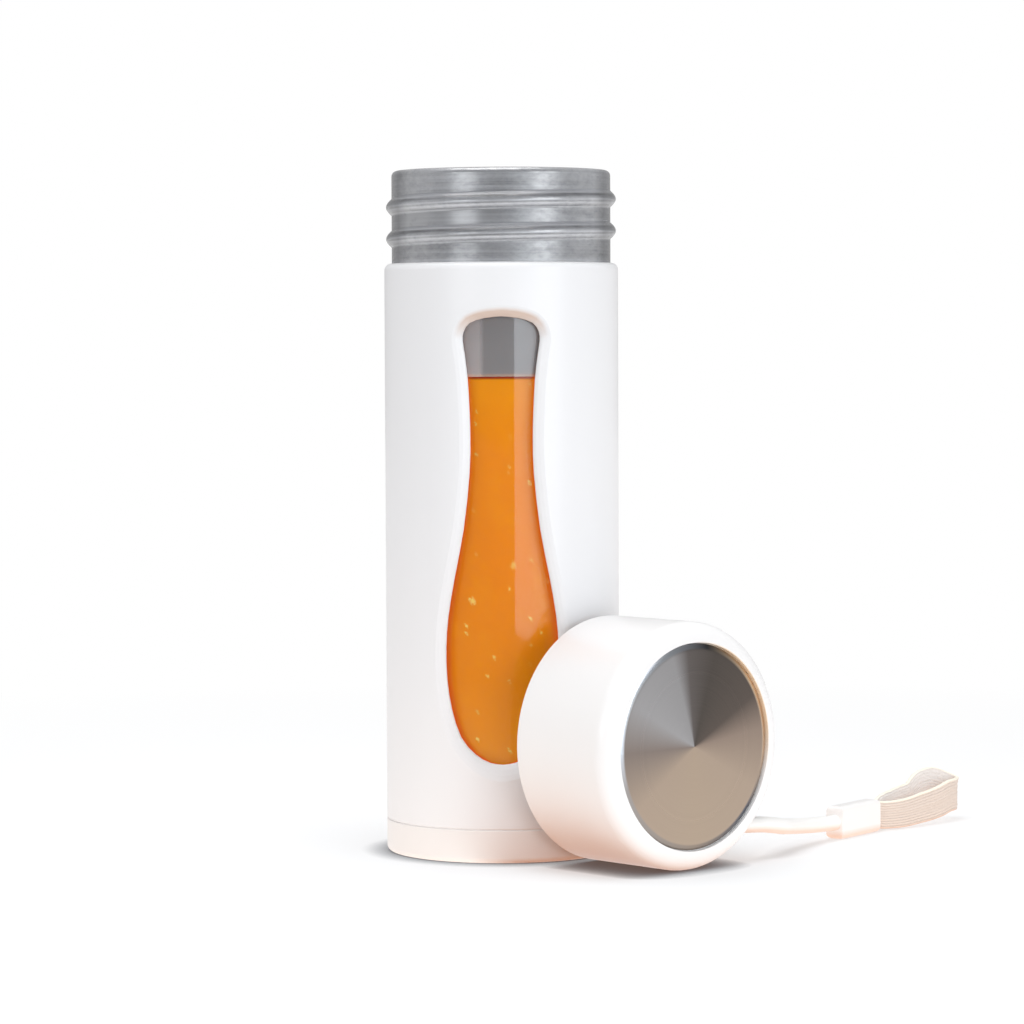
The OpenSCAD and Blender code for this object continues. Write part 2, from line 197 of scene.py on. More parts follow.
CORD_RADIUS = 2.3
CORD_THIN_SHARE = 0.72
CORD_GROWS_OVER = 10.0
CORD_SIDES = 32
CORD_ROUND = 2 * np.pi * CORD_RADIUS
EYE_RADIUS = 3.1
EYE_CORD_RADIUS = 1.5
STRANDS = 10
BAND_WIDTH = 10.0
BAND_IN_CLAMP = 8.3
BAND_THICK = 1.2
BAND_WIDENS_OVER = 34.0
CLAMP_END = 83.5
CORD_ROUTE = [
    [3.2, 10.4, 0],
    [8.7, 10.3, 0],
    [14.7, 9.9, 0],
    [19.7, 9.2, -0.2],
    [24.3, 8.4, -1.3],
    [28.8, 7.8, -3.3],
    [33.2, 7.2, -5.7],
    [42, 6.2, -9.3],
    [51, 5.4, -12.2],
    [56.1, 5.1, -13.4],
    [61, 4.9, -14.4],
    [69, 4.9, -16.1],
]
BAND_ROUTE = [
    [78, 4.9, -17.25],
    [84.5, 4.8, -18.4],
    [87.5, 4.6, -17.6],
    [92.1, 4.6, -16.9],
    [96.6, 4.8, -16.8],
    [102.4, 5.4, -17.1],
    [107.5, 5.9, -17.5],
    [112.8, 6.6, -18.1],
    [117.5, 7.6, -18.8],
    [121.3, 7.7, -20],
    [124.1, 7.7, -21.6],
    [125, 7.9, -23.1],
    [123.4, 8.8, -24.3],
    [120.6, 10, -25],
    [116.8, 11.2, -25.3],
    [113.6, 11.1, -25.3],
    [111.1, 10.6, -25.2],
    [109.4, 9.7, -25.1],
    [107.5, 8.4, -24.9],
    [105.5, 7.6, -24.7],
    [101, 7.3, -24],
    [94.9, 6.8, -22.6],
    [89.9, 6.3, -21.4],
    [84.5, 4.9, -20],
    [78, 4.9, -18.8],
]


def cord_piece():
    """A round tube along the cord's route.

    A ring's point at the angle a is the route's point + radius * (cos a * across + sin a * above). The
    radius is 2.3 mm, and beside the pin 0.72 of that, which eases out over 10 mm.
    """
    local = smooth_line(CORD_ROUTE, 10)
    path = strap_place(local)
    ahead = headings(path)
    across = unit(np.cross(ahead, UP))
    above = np.cross(across, ahead)
    grown = ease(local[:, 0] / CORD_GROWS_OVER)
    radius = CORD_RADIUS * MM * (CORD_THIN_SHARE + (1 - CORD_THIN_SHARE) * grown)
    a = np.radians(np.arange(CORD_SIDES) * 360 / CORD_SIDES)[None, :, None]
    outwards = np.cos(a) * across[:, None] + np.sin(a) * above[:, None]
    rings = path[:, None] + radius[:, None, None] * outwards
    step = np.linalg.norm(path[2] - path[1])
    cord = rings_to_mesh("strap_cord_round", rings, uv_scale=(step, CORD_ROUND * MM / CORD_SIDES))
    return cord, path


def eye_piece():
    """The cord's eye: a ring round the pin, 3.1 mm in radius to its middle line and 3 mm thick.

    A point is the pin's middle + outwards * (3.1 mm + 1.5 mm * cos b) + along the pin * 1.5 mm * sin b.
    """
    centre = strap_place([[0, PIN_HEIGHT, 0]])[0]
    turn = np.radians(np.arange(64) * 360 / 64)
    b = np.radians(np.arange(24) * 360 / 24)[None, :, None]
    outwards = np.cos(turn)[:, None] * SIDEWAYS + np.sin(turn)[:, None] * UP
    rings = (
        centre
        + outwards[:, None] * (EYE_RADIUS + EYE_CORD_RADIUS * np.cos(b)) * MM
        + FORWARD * (EYE_CORD_RADIUS * np.sin(b)) * MM
    )
    return rings_to_mesh("strap_cord_eye", rings, closed=True)


def band_piece():
    """The woven band on its edge along its route, with its strands side by side.

    It is 8.3 mm wide in the clamp and widens over the next 34 mm to 10 mm. Across it, thickness = 1.2 mm *
    (0.7 + 0.3 * sqrt(|sin(pi * strand)|)), thinned to a round at both edges. Every strand swells and wanders
    a little along its length, out of step with the next one. The direction up the band is a running mean of
    what the route gives, so that it turns without a kink.
    """
    local = smooth_line(BAND_ROUTE, 22)
    path = strap_place(local)
    ahead = headings(path)
    across = unit(np.cross(ahead, UP))
    reach = 20
    window = np.hanning(2 * reach + 1)
    ends = np.pad(np.cross(across, ahead), ((reach, reach), (0, 0)), "edge")
    above = unit(np.stack([np.convolve(row, window, "valid") for row in ends.T], 1))
    widening = ease((local[:, 0] - CLAMP_END) / BAND_WIDENS_OVER)
    half = (BAND_IN_CLAMP + (BAND_WIDTH - BAND_IN_CLAMP) * widening) / 2 * MM
    length = np.concatenate([[0], np.cumsum(np.linalg.norm(np.diff(path, axis=0), axis=1))])
    along = length[:, None] / MM
    count = STRANDS * 8
    v = np.linspace(-1, 1, count + 1)
    bend = 0.16 * np.sin(along / 7.3 + 1.9 * v) * (1 - v**2)
    strand = (v + 1) / 2 * STRANDS + bend
    swell = 0.7 + 0.3 * np.sqrt(np.abs(np.sin(np.pi * strand)))
    number = np.clip(np.floor(strand), 0, STRANDS - 1)
    weave = 0.05 * np.sin(np.pi * (along / 1.5 + number))
    wander = 0.05 * np.sin(along / 11 + number * 2.4)
    edge = np.sqrt(np.clip(1 - ((np.abs(v) - 0.93) / 0.07).clip(0) ** 2, 0.05, 1))
    thick = BAND_THICK / 2 * MM * edge * (swell + weave + wander)
    middle = path[:, None] + above[:, None] * (half[:, None, None] * v[None, :, None])
    front = middle + across[:, None] * thick[:, :, None]
    back = middle - across[:, None] * thick[:, :, None]
    rings = np.concatenate([front, back[:, ::-1]], 1)
    step = length[-1] / (len(path) - 1)
    band = rings_to_mesh("strap_band", rings, uv_scale=(step, BAND_WIDTH * MM / count))
    return band, path[local[:, 0] > CLAMP_END - 0.5]


# The glass, in mm.

RIDGE_HEIGHT = 188.4
RIDGE_HALF = 2.8
PITCH = 4.6
DRINK_TOP = 138.4
GLASS_FOOT = 3.6
GLASS_FLOOR = 8.6
GLASS_RADIUS = 30.4
GLASS_WALL = 2.0
NECK_START = 167.5
NECK_ROOT = 31.8
NECK_BORE = 27.4
MOUTH_ROUND = 1.6
MOUTH_TOP = 197.8


def ridge_rise(angle, height):
    """How far the ridges stand out, in mm, at an angle in degrees from -y (-180 to 180) and a height in mm.

    One ridge's middle lies at 188.4 mm at the front, the other's 9.2 mm lower, and both climb 4.6 mm a
    turn. With u the distance from the middle over 2.8 mm, a ridge rises 2 mm * (1 - u^2)^1.2 - 0.4 mm. It
    narrows and fades over 45 degrees at both ends.
    """
    live = ease((180 - np.abs(angle)) / 45)
    rise = np.zeros(np.broadcast(angle, height).shape)
    for middle in (RIDGE_HEIGHT, RIDGE_HEIGHT - 2 * PITCH):
        u = (height - middle - PITCH * angle / 360) / (RIDGE_HALF * (0.5 + 0.5 * live))
        bump = np.clip(1 - u * u, 0, 1) ** 1.2 * (0.12 + 0.88 * live)
        rise = np.maximum(rise, 2 * bump - 0.4)
    return rise


def vessel():
    """The glass: its outline of radius and height turned about z, with the ridges' rise outside the neck.

    Its faces have three materials: the body below the drink's surface, the body above it, and the neck.
    """
    inner = GLASS_RADIUS - GLASS_WALL
    mouth = MOUTH_TOP - MOUTH_ROUND
    outline = np.vstack(
        [
            [[0.4, GLASS_FOOT], [12, GLASS_FOOT]],
            arc((GLASS_RADIUS - 4, GLASS_FOOT + 4), 4, -90, 0, 9),
            upright(GLASS_RADIUS, 12, DRINK_TOP, 26),
            upright(GLASS_RADIUS, 143, NECK_START - 0.1, 6),
            [[GLASS_RADIUS + 0.1, NECK_START + 0.16], [NECK_ROOT - 0.2, NECK_START + 0.22]],
            upright(NECK_ROOT, NECK_START + 0.5, mouth - 0.2, 113),
            arc((NECK_ROOT - MOUTH_ROUND, mouth), MOUTH_ROUND, 0, 90, 9),
            arc((NECK_BORE + MOUTH_ROUND, mouth), MOUTH_ROUND, 90, 180, 9)[1:],
            upright(NECK_BORE, 195, 168.6, 12),
            [[NECK_BORE + 0.2, 168.1], [NECK_BORE + 0.8, 167.8], [inner, 167.2]],
            upright(inner, 163, DRINK_TOP, 6),
            upright(inner, 134, 16, 20),
            arc((inner - 6, GLASS_FLOOR + 6), 6, 0, -90, 9),
            [[12, GLASS_FLOOR], [0.4, GLASS_FLOOR]],
        ]
    )
    columns = 384
    angle = np.arange(columns) * 360 / columns
    angle = np.where(angle > 180, angle - 360, angle)
    radius, height = outline[:, :1], outline[:, 1:]
    on_neck = np.abs(radius - NECK_ROOT) < 1e-6
    r = radius + on_neck * ridge_rise(angle, height)
    a = np.radians(angle)
    rings = np.stack([r * np.sin(a), -r * np.cos(a), np.broadcast_to(height, r.shape)], 2)
    piece = rings_to_mesh("glass_vessel", rings * MM)
    middles = np.zeros(len(piece.data.polygons) * 3)
    piece.data.polygons.foreach_get("center", middles)
    z = middles[2::3]
    part = (z > DRINK_TOP * MM).astype(int) + (z > NECK_START * MM)
    piece.data.materials.append(wet_glass())
    piece.data.materials.append(smoked_glass())
    piece.data.polygons.foreach_set("material_index", part)
    return piece


# Materials.


class Value:
    """A number in a shader. Arithmetic on it adds Math nodes."""

    def __init__(self, finish, socket):
        self.finish = finish
        self.socket = socket

    def by(self, operation, *others, clamp=False):
        """The Math node of this operation on this number and the others."""
        settings = {"operation": operation, "use_clamp": clamp}
        return self.finish.node("Math", settings, [self, *others])

    def held(self, gain=1.0):
        """This number times the gain, held between 0 and 1."""
        return self.by("MULTIPLY", gain, clamp=True)

    def past(self, start, width):
        """0 up to the start, 1 from a width past it, and a straight rise between. Both are in mm."""
        return ((self - start * MM) / (width * MM)).held()

    def short_of(self, end, width):
        """1 until a width short of the end, 0 past it, and a straight fall between. Both are in mm."""
        return ((end * MM - self) / (width * MM)).held()

    def __abs__(self):
        return self.by("ABSOLUTE")

    def __add__(self, other):
        return self.by("ADD", other)

    __radd__ = __add__

    def __mul__(self, other):
        return self.by("MULTIPLY", other)

    __rmul__ = __mul__

    def __sub__(self, other):
        return self.by("SUBTRACT", other)

    def __rsub__(self, other):
        return self.finish.node("Math", {"operation": "SUBTRACT"}, [other, self])

    def __truediv__(self, other):
        return self.by("DIVIDE", other)

    def __pow__(self, other):
        return self.by("POWER", other)


class Finish:
    """Builds the nodes of one material, or of the world."""

    def __init__(self, owner):
        owner.use_nodes = True
        self.owner = owner
        self.tree = owner.node_tree
        self.tree.nodes.clear()

    def node(self, kind, settings=None, values=(), output=0):
        """Adds a node, sets its settings, such as a ramp's stops, feeds its sockets and gives one output."""
        new = self.tree.nodes.new("ShaderNode" + kind)
        for key, value in (settings or {}).items():
            if key == "stops":
                ramp = new.color_ramp
                while len(ramp.elements) < len(value):
                    ramp.elements.new(0.5)
                for element, (place, colour) in zip(ramp.elements, value):
                    element.position = place
                    element.color = (*colour, 1)
            else:
                setattr(new, key, value)
        pairs = values.items() if isinstance(values, dict) else enumerate(values)
        for key, value in pairs:
            self.feed(new.inputs[key], value)
        return Value(self, new.outputs[output]) if new.outputs else None

    def feed(self, socket, value):
        """Links a Value, or sets a plain number or colour."""
        if isinstance(value, Value):
            self.tree.links.new(value.socket, socket)
        elif socket.type == "RGBA":
            socket.default_value = (*value, 1.0)
        else:
            socket.default_value = value

    def place(self, scale=(1, 1, 1)):
        """Object coordinates, scaled."""
        here = self.node("TexCoord", output="Object")
        return self.node("Mapping", {}, {0: here, 3: scale})

    def along(self, scale):
        """The piece's own UV map, scaled."""
        here = self.node("TexCoord", output="UV")
        return self.node("Mapping", {}, {0: here, 3: scale})

    def noise(self, scale, detail, where=None, rough=0.5):
        """Noise from 0 to 1 with that many waves a metre."""
        where = where or self.place()
        values = {"Vector": where, "Scale": scale, "Detail": detail, "Roughness": rough}
        return self.node("TexNoise", {}, values)

    def mix(self, factor, a, b):
        """Colour a to colour b by the factor."""
        return self.node("Mix", {"data_type": "RGBA"}, {0: factor, 6: a, 7: b}, output=2)

    def ramp(self, stops, where):
        """The colour between the stops at a place from 0 to 1. A stop's colour may be one level of grey."""
        stops = [(p, c if isinstance(c, tuple) else (c, c, c)) for p, c in stops]
        return self.node("ValToRGB", {"stops": stops}, [where])

    def axes(self):
        """The object coordinates x, y and z."""
        here = self.node("TexCoord", output="Object")
        return [self.node("SeparateXYZ", {}, [here], output=k) for k in range(3)]

    def along_and_round(self):
        """The piece's own u, along it, and v, round or across it."""
        here = self.node("TexCoord", output="UV")
        return [self.node("SeparateXYZ", {}, [here], output=k) for k in range(2)]

    def glow(self, colour):
        """A surface that gives off this colour by itself. A Value gives a grey."""
        return self.node("Emission", {}, {"Color": colour, "Strength": 1.0})

    def seen(self):
        """1 for what the camera sees, straight or through glass, and 0 for other light."""
        camera = self.node("LightPath", output="Is Camera Ray")
        return camera.by("ADD", self.node("LightPath", output="Is Transmission Ray"), clamp=True)

    def bump(self, height, distance, strength):
        """A normal from a height between 0 and 1 that stands for that distance in mm."""
        values = {"Strength": strength, "Distance": distance * MM, "Height": height}
        return self.node("Bump", {}, values)

    def shader(self, **values):
        """The Principled shader as this material's surface; underscores stand for spaces."""
        named = {key.replace("_", " "): value for key, value in values.items()}
        self.surface(self.node("BsdfPrincipled", {}, named))

    def surface(self, shader):
        """Ends the tree with this shader."""
        kind = "OutputWorld" if isinstance(self.owner, bpy.types.World) else "OutputMaterial"
        self.node(kind, {}, {"Surface": shader})


def linear(red, green, blue):
    """A colour given as 0 to 255 display numbers, as the linear values that shaders take."""
    shown = np.array([red, green, blue]) / 255
    level = np.where(shown < 0.04045, shown / 12.92, ((shown + 0.055) / 1.055) ** 2.4)
    return tuple(float(x) for x in level)


def moulded(name, colour, roughness=0.34, painted_light=None):
    """Moulded white plastic: a very fine grain, and faint flow clouds in colour and gloss.

    The last argument gives how much of a second colour, painted light or shade, shows at each point, and
    that colour.
    """
    f = Finish(bpy.data.materials.new(name))
    cloud = f.noise(22, 3)
    fine = f.noise(2600, 2)
    scuff = f.noise(90, 4, f.place(scale=(1, 1, 0.25)))
    tint = f.mix(cloud, tuple(0.985 * c for c in colour), colour)
    if painted_light is not None:
        amount, second = painted_light(f)
        # Painted light or shade: the second colour goes over the tint where the given mask says.
        tint = f.mix(amount, tint, second)
    gloss = roughness + (cloud - 0.5) * 0.06 + (scuff - 0.5) * 0.05
    f.shader(
        Base_Color=tint,
        Roughness=gloss,
        IOR=1.46,
        Normal=f.bump(fine, 0.01, 0.6),
        Coat_Weight=0.15,
        Coat_Roughness=0.12,
    )
    return f.owner


def wet_glass():
    """The glass where the drink stands behind it: clear, with faint flow lines."""
    f = Finish(bpy.data.materials.new("wet_glass"))
    flow = f.noise(30, 3, f.place(scale=(1, 1, 0.3)))
    f.shader(
        Base_Color=f.mix(flow, (0.93, 0.92, 0.91), (0.98, 0.98, 0.98)),
        Roughness=0.02 + flow * 0.02,
        IOR=1.3,
        Transmission_Weight=1.0,
        Normal=f.bump(flow, 0.02, 0.4),
    )
    return f.owner


def smoked_glass():
    """Smoked glass over the drink: grey, with painted light over its left third, and faint upright flow
    lines.
    """
    f = Finish(bpy.data.materials.new("smoked_glass"))
    flow = f.noise(70, 3, f.place(scale=(1, 1, 0.2)))
    cloud = f.noise(40, 3)
    grey = f.mix(flow, linear(184, 185, 188), linear(206, 207, 210))
    x, _, _ = f.axes()
    # Painted light: the glass is lighter grey left of about -5 mm.
    lighter = x.short_of(-4.8, 1.2 / 0.85)
    grey = f.mix(lighter, grey, linear(238, 239, 242))
    f.shader(
        Base_Color=f.mix(cloud * 0.4, grey, linear(172, 173, 176)),
        Roughness=0.05 + flow * 0.04,
        IOR=1.46,
        Transmission_Weight=0.7,
        Coat_Weight=0.6,
        Coat_Roughness=0.03,
        Normal=f.bump(flow, 0.02, 0.4),
    )
    return f.owner


# The painted highlight and shade lines across a ridge: the place over 6 mm of height, from below, and how
# light it is.
PAINTED_RIDGE_LIGHT = [
    (0.0, 0.5),
    (0.10, 0.5),
    (0.13, 0.68),
    (0.16, 0.5),
    (0.18, 0.22),
    (0.22, 0.5),
    (0.28, 0.85),
    (0.32, 1.0),
    (0.36, 0.55),
    (0.395, 0.3),
    (0.43, 0.6),
    (0.475, 1.0),
    (0.53, 0.6),
    (0.62, 0.3),
    (0.70, 0.1),
    (0.76, 0.3),
    (0.80, 0.62),
    (0.85, 0.5),
    (1.0, 0.5),
]


def neck_glass():
    """The neck's smoked glass.

    It has streaks round it, with painted highlight and shade lines along the ridges, and painted glints on
    them at two places in front. A strong coat, in blotches, shows the lamps. The outer edges have painted
    shade.
    """
    f = Finish(bpy.data.materials.new("neck_glass"))
    x, y, z = f.axes()
    turn = x.by("ARCTAN2", y * -1) / (2 * np.pi)
    off = ((z - RIDGE_HEIGHT * MM) / MM - turn * PITCH).by("WRAP", PITCH, -PITCH)
    # Painted highlight and shade lines across each ridge.
    lines = f.ramp(PAINTED_RIDGE_LIGHT, off / 6 + 0.5)
    there = z.past(174.2, 1) * z.short_of(195, 1) * (0.5 - abs(turn)).held(12)
    streak = f.noise(60, 4, f.place(scale=(0.25, 0.25, 13)), 0.6)
    fine = f.noise(200, 3, f.place(scale=(0.12, 0.12, 9)), 0.6)
    cloud = f.noise(60, 4, f.place(scale=(1, 1, 0.9)))
    break_up = f.noise(400, 3, f.place(scale=(0.5, 0.5, 1.5)), 0.6)
    # Painted glints at two angles in front, over the ridges' painted highlight lines.
    painted_glint = (1 - abs(turn + 0.051) / 0.022).held() + (1 - abs(turn - 0.064) / 0.024).held()
    tone = 0.5 + (streak - 0.5) * 0.5 + (fine - 0.5) * 0.5 + (cloud - 0.5) * 0.45
    tone = tone + (lines - 0.6).held() * there * painted_glint * 0.9
    tone = tone + (lines - 0.5) * there * (0.5 + break_up * 0.9)
    tone = tone + z.short_of(172.2, 1.1) * 0.35
    # Painted shade towards the neck's left and right edges; it also thins the coat there.
    rim = abs(x).past(26.5, 3)
    grey = f.mix((tone * (1 - rim * 0.55)).held(), linear(78, 79, 82), linear(218, 220, 226))
    blotch = f.noise(420, 4, f.place(scale=(0.8, 0.8, 1.5)), 0.62)
    between = z.past(181.2, 0.67) * z.short_of(186.6, 0.67) * x.short_of(0, 5)
    slope = (off - 0.5).held(2.5) * (3.0 - off).held(2.5) * there
    patch = (0.74 + (blotch - 0.5) * 2.6 + between * 0.45).held() * (1 - slope * 0.9)
    f.shader(
        Base_Color=grey,
        Roughness=0.2 + (streak - 0.5) * 0.2 + fine * 0.06,
        IOR=1.5,
        Transmission_Weight=0.35,
        Coat_Weight=patch * (1 - rim * 0.8),
        Coat_IOR=2.5,
        Coat_Roughness=0.3,
        Normal=f.bump(streak * 0.3 + fine * 0.3 + blotch * 0.4, 0.1, 0.7),
    )
    return f.owner


WINDOW_FOOT = 28.0
WINDOW_HEIGHT = 127.5
WINDOW_HALF = 16.0

# Half the window's width, as a share of its widest, at shares of its height from below.
WINDOW_SHARES = [
    (0.0, 0.1),
    (0.004, 0.22),
    (0.022, 0.48),
    (0.06, 0.74),
    (0.123, 0.905),
    (0.19, 0.985),
    (0.26, 1.0),
    (0.33, 0.96),
    (0.42, 0.84),
    (0.525, 0.68),
    (0.65, 0.57),
    (0.73, 0.553),
    (0.79, 0.565),
    (0.86, 0.595),
    (0.915, 0.645),
    (0.945, 0.68),
    (0.97, 0.66),
    (1.0, 0.4),
]

# The drink's colour at shares of its height from below.
DRINK_STOPS = [
    (0.0, linear(255, 170, 66)),
    (0.22, linear(246, 152, 36)),
    (0.38, linear(236, 138, 8)),
    (0.6, linear(236, 134, 8)),
    (0.85, linear(238, 138, 8)),
    (1.0, linear(240, 150, 14)),
]


def drink_specks(f, x, z):
    """Bits of pulp and small bubbles: ragged spots in three sizes, round a few of the pattern's points."""
    ragged = (f.noise(2000, 3) - 0.5) * 0.0026
    here = f.node("CombineXYZ", {}, [x + ragged + 0.3707, z * 0.75 - ragged + 0.6131, 0.0])
    flat = {"feature": "F1", "voronoi_dimensions": "2D"}
    specks = None
    for scale, size, rare in ((330.0, 0.15, 0.92), (190.0, 0.11, 0.88), (80.0, 0.08, 0.87)):
        where = {"Vector": here, "Scale": scale, "Randomness": 1.0}
        near = f.node("TexVoronoi", flat, where, output="Distance")
        pick = f.node("TexVoronoi", flat, where, output="Color")
        chosen = (f.node("SeparateColor", {}, [pick], output=0) - rare).held(60)
        speck = (size - near).held(22) * chosen
        specks = speck if specks is None else specks.by("MAXIMUM", speck)
    return specks


def orange_drink():
    """Cloudy orange drink with pulp and small bubbles.

    It is paler below. Near the window's edges it has painted red light and a painted glow, and a painted
    dark line of shade runs at the edge of its surface. The whole drink glows a little by itself, which is
    painted light.
    """
    f = Finish(bpy.data.materials.new("orange_drink"))
    x, y, z = f.axes()
    body = f.ramp(DRINK_STOPS, z.past(0, 138))
    pulp = f.noise(160, 4, f.place(scale=(1, 1, 0.7)), 0.6)
    smear = f.noise(45, 3, f.place(scale=(1, 1, 0.5)))
    body = f.mix((smear - 0.45).held(1.6) * 0.35, body, linear(228, 124, 10))
    body = f.mix((pulp - 0.5).held(1.4), body, linear(244, 158, 10))
    specks = drink_specks(f, x, z)
    body = f.mix(specks * (pulp * 2.0 - 0.4).held(), body, linear(255, 226, 124))
    half = f.ramp(WINDOW_SHARES, (z - WINDOW_FOOT * MM) / (WINDOW_HEIGHT * MM))
    share = abs(x) / (half * (WINDOW_HALF * MM))
    # Painted red light and glow near the window's edges, from the window's outline.
    edge = (share - 0.88).held(9)
    redder = ((share - 0.72) / 0.28).held()
    body = f.mix(edge * (1.15 - z * 4), body, linear(228, 84, 22))
    out = (x * x + y * y).by("SQRT")
    # Painted shade: a dark line at the edge of the drink's surface.
    line = z.past(DRINK_TOP - 1, 0.62) * out.past(27.2, 0.67)
    body = f.mix(line, body, linear(150, 44, 12))
    f.shader(
        Base_Color=body,
        Roughness=0.3 + (pulp - 0.5) * 0.1,
        Specular_IOR_Level=0.0,
        # Painted glow: the drink gives off its own colour, redder near the window's edges.
        Emission_Color=f.mix(redder * redder * 0.9, body, (1.8, 0.36, 0.05)),
        Emission_Strength=0.26,
        Normal=f.bump(specks, 0.2, 0.4),
    )
    return f.owner


def beside_the_cap(x, y):
    """How far a place lies beside the cap's axis, and how far from the cap's rim along it."""
    from_x, from_y = x - float(CAP_RIM[0]), y - float(CAP_RIM[1])
    side = from_x * float(SIDEWAYS[0]) + from_y * float(SIDEWAYS[1])
    along = from_x * float(FORWARD[0]) + from_y * float(FORWARD[1])
    return side, along


def round_the_cap(f):
    """How far out a place lies from the cap's axis, and the angle round it in turns."""
    x, y, z = f.axes()
    side, _ = beside_the_cap(x, y)
    high = z - CAP_RADIUS * MM
    out = (side * side + high * high).by("SQRT")
    turn = high.by("ARCTAN2", side) / (2 * np.pi) + 0.5
    return out, turn


# The disc's painted reflections, light and dark wedges round its middle, and the painted highlights and
# shade of its rounded edge, in turns from its left side by way of its lower side.
DISC_WARM_REFLECTION = linear(196, 176, 158)
DISC_PAINTED_REFLECTIONS = [
    (0.0, linear(150, 138, 132)),
    (0.10, DISC_WARM_REFLECTION),
    (0.25, linear(198, 178, 158)),
    (0.42, DISC_WARM_REFLECTION),
    (0.52, linear(166, 148, 136)),
    (0.58, linear(96, 88, 84)),
    (0.70, linear(80, 76, 74)),
    (0.765, linear(104, 100, 100)),
    (0.80, linear(170, 170, 173)),
    (0.92, linear(182, 182, 185)),
    (1.0, linear(150, 138, 132)),
]
DISC_EDGE_PAINTED_LIGHT = [
    (0.0, linear(228, 231, 238)),
    (0.06, linear(176, 170, 168)),
    (0.25, linear(160, 146, 134)),
    (0.38, linear(104, 108, 118)),
    (0.48, linear(214, 190, 166)),
    (0.6, linear(232, 206, 176)),
    (0.72, linear(60, 62, 66)),
    (0.86, linear(206, 210, 217)),
    (0.93, linear(250, 252, 255)),
    (1.0, linear(236, 240, 248)),
]


def spun_steel():
    """Steel turned on a lathe: fine rings, painted reflections in broad wedges of light and dark, and
    painted highlights and shade on its polished rounded edge.
    """
    f = Finish(bpy.data.materials.new("spun_steel"))
    out, turn = round_the_cap(f)
    flat = {"noise_dimensions": "1D"}
    rings = f.node("TexNoise", flat, {"W": out, "Scale": 3300.0, "Detail": 1.0})
    wide = f.node("TexNoise", flat, {"W": out, "Scale": 700.0, "Detail": 2.0})
    groove = tuple(0.6 * c for c in DISC_WARM_REFLECTION)
    # Painted reflections: the wedges round the middle and the colours of the rounded edge.
    colour = f.mix((rings - 0.5) * 0.12 + 0.12, f.ramp(DISC_PAINTED_REFLECTIONS, turn), groove)
    colour = f.mix(out.past(27.2, 0.6), colour, f.ramp(DISC_EDGE_PAINTED_LIGHT, turn))
    f.shader(
        Base_Color=colour,
        Metallic=1.0,
        Roughness=0.3 + (wide - 0.5) * 0.1,
        Normal=f.bump(rings, 0.005, 0.4),
    )
    return f.owner


def drawn_steel():
    """Plain drawn steel for the pin."""
    f = Finish(bpy.data.materials.new("drawn_steel"))
    draw = f.noise(900, 3)
    f.shader(
        Base_Color=f.mix(draw, linear(150, 150, 152), linear(182, 181, 180)),
        Metallic=1.0,
        Roughness=0.25 + draw * 0.15,
        Normal=f.bump(draw, 0.01, 0.5),
    )
    return f.owner


def silicone():
    """Milky silicone rubber, dusty matt."""
    f = Finish(bpy.data.materials.new("silicone"))
    dust = f.noise(500, 4)
    f.shader(
        Base_Color=f.mix(dust, linear(214, 217, 220), linear(228, 230, 232)),
        Roughness=0.55 + (dust - 0.5) * 0.2,
        Normal=f.bump(dust, 0.02, 0.5),
    )
    return f.owner


def soft_cord():
    """The cord's white rubber: faint lengthwise flow lines, a soft sheen, and painted warm shade on its
    underside.
    """
    f = Finish(bpy.data.materials.new("soft_cord"))
    flow = f.noise(1.0, 3, f.along((90, 1600, 1)))
    speck = f.noise(1800, 2)
    white = f.mix(flow, linear(244, 242, 240), linear(250, 249, 247))
    _, v = f.along_and_round()
    # Painted warm shade along the cord's underside.
    low = abs(v - 10.8 * MM).short_of(3.6, 1.43)
    f.shader(
        Base_Color=f.mix(low * 0.75, white, linear(228, 194, 172)),
        Roughness=0.42 + (flow - 0.5) * 0.12,
        Normal=f.bump(flow * 0.5 + speck * 0.5, 0.03, 0.5),
    )
    return f.owner


def woven_band():
    """Beige woven yarn: fine fibres along it, darker lines 0.9 mm apart, and small crossing stitches.

    Painted light: the loop's far side is paler, as if lit, its upper edge has a creamy painted highlight,
    and its lower edge painted warm shade.
    """
    f = Finish(bpy.data.materials.new("woven_band"))
    u, v = f.along_and_round()
    across = (v / (0.9 * MM)).by("FRACT")
    groove = (abs(across - 0.5) * 2) ** 6
    fibre = f.noise(1.0, 4, f.along((260, 9000, 1)), 0.7)
    streak = f.noise(1.0, 3, f.along((60, 1500, 1)), 0.6)
    stitch = (u * (2 * np.pi / (1.2 * MM))).by("SINE") * 0.5 + 0.5
    yarn = f.mix(fibre, linear(206, 186, 172), linear(240, 226, 214))
    yarn = f.mix(streak * 0.55, yarn, linear(236, 228, 222))
    shadow = groove * (0.15 + streak * 0.5) * (1 - u.past(16, 28.6))
    colour = f.mix(shadow, yarn, linear(178, 150, 134))
    # Painted light on the loop's far side.
    far_side = u.past(47, 5.33)
    colour = f.mix(far_side, colour, linear(248, 243, 240))
    # Painted creamy highlight along the upper edge.
    upper = abs(v - BAND_WIDTH * MM).short_of(0.7, 0.35)
    colour = f.mix(upper, colour, linear(252, 246, 230))
    # Painted warm shade along the lower edge.
    lower = v.short_of(0.9, 1.125)
    colour = f.mix(lower, colour, linear(222, 172, 140))
    height = (1 - groove) * 0.6 + fibre * 0.3 + stitch * 0.1
    f.shader(
        Base_Color=colour,
        Roughness=0.78 + (fibre - 0.5) * 0.2,
        Normal=f.bump(height, 0.22, 0.7),
        Sheen_Weight=0.25,
        Sheen_Roughness=0.4,
    )
    return f.owner


